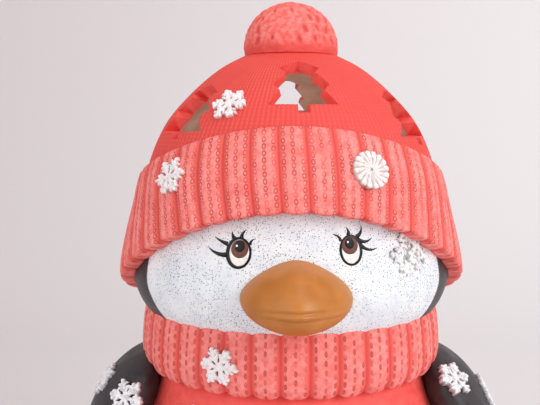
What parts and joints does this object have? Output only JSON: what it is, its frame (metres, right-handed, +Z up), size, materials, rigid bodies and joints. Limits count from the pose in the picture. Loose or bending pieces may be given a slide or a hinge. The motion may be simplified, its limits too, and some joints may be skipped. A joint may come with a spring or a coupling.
{
  "type": "ceramic penguin lantern",
  "caption": "Hollow painted ceramic penguin in a knitted-look hat with tree-shaped windows, standing over a battery LED light.",
  "frame": {"origin": "on the table under the middle of the footprint", "axes": "+Z up through the bobble, beak and toes towards -Y, the figure's own left hand towards +X"},
  "size_m": [0.21, 0.1968, 0.3086],
  "materials": {
    "red_glaze": "hand-painted matt stain, coral red",
    "white_glaze": "hand-painted matt stain, white speckled with black",
    "black_glaze": "hand-painted soft black stain",
    "orange_glaze": "hand-painted orange-brown stain, sealed",
    "snow_glaze": "dry-brushed white over relief",
    "abs_white": "moulded, fine spark texture",
    "frosted_lens": "frosted translucent",
    "board": "solder mask",
    "led_resin": "phosphor resin",
    "cell_sleeve": "shrink sleeve over steel can",
    "nickel": "bright nickel plate",
    "abs_black": "moulded"
  },
  "bodies": {
    "figure": {"beak": "orange_glaze", "bobble": "red_glaze", "body_casting": "red_glaze", "collar": "red_glaze", "flipper_left": "black_glaze", "flipper_right": "black_glaze", "foot_left": "orange_glaze", "foot_right": "orange_glaze", "hat_crown": "red_glaze", "hat_cuff": "red_glaze", "head_casting": "white_glaze", "rosette_cuff_right": "snow_glaze", "snowflake_cheek": "snow_glaze", "snowflake_collar": "snow_glaze", "snowflake_crown_back": "snow_glaze", "snowflake_crown_front": "snow_glaze", "snowflake_cuff_back": "snow_glaze", "snowflake_cuff_left": "snow_glaze", "snowflake_flipper_left_1": "snow_glaze", "snowflake_flipper_left_2": "snow_glaze", "snowflake_flipper_left_3": "snow_glaze", "snowflake_flipper_right_1": "snow_glaze", "snowflake_flipper_right_2": "snow_glaze", "snowflake_flipper_right_3": "snow_glaze", "snowflake_sweater_back": "snow_glaze", "snowflake_sweater_left": "snow_glaze", "snowflake_sweater_low": "snow_glaze", "snowflake_sweater_middle": "snow_glaze", "snowflake_sweater_right": "snow_glaze", "tail": "black_glaze"},
    "light": {"battery_1": "cell_sleeve", "battery_2": "cell_sleeve", "battery_3": "cell_sleeve", "battery_spring_1": "nickel", "battery_spring_2": "nickel", "battery_spring_3": "nickel", "contact_strip_left": "nickel", "contact_strip_right": "nickel", "led_1": "led_resin", "led_2": "led_resin", "led_3": "led_resin", "led_board": "board", "light_base": "abs_white", "light_case": "abs_white", "light_lens": "frosted_lens", "light_screw_1": "nickel", "light_screw_2": "nickel", "switch_body": "nickel"},
    "door": {"battery_door": "abs_white"},
    "switch": {"switch_slider": "abs_black"}
  },
  "joints": [
    {"name": "light_lift", "type": "slide", "parent": "figure", "child": "light", "axis": [0, 0, -1], "range_m": [0, 0.05]},
    {"name": "door_lift", "type": "slide", "parent": "light", "child": "door", "axis": [0, 0, -1], "range_m": [0, 0.02]},
    {"name": "switch_slide", "type": "slide", "parent": "light", "child": "switch", "axis": [1, 0, 0], "range_m": [0, 0.003]}
  ]
}
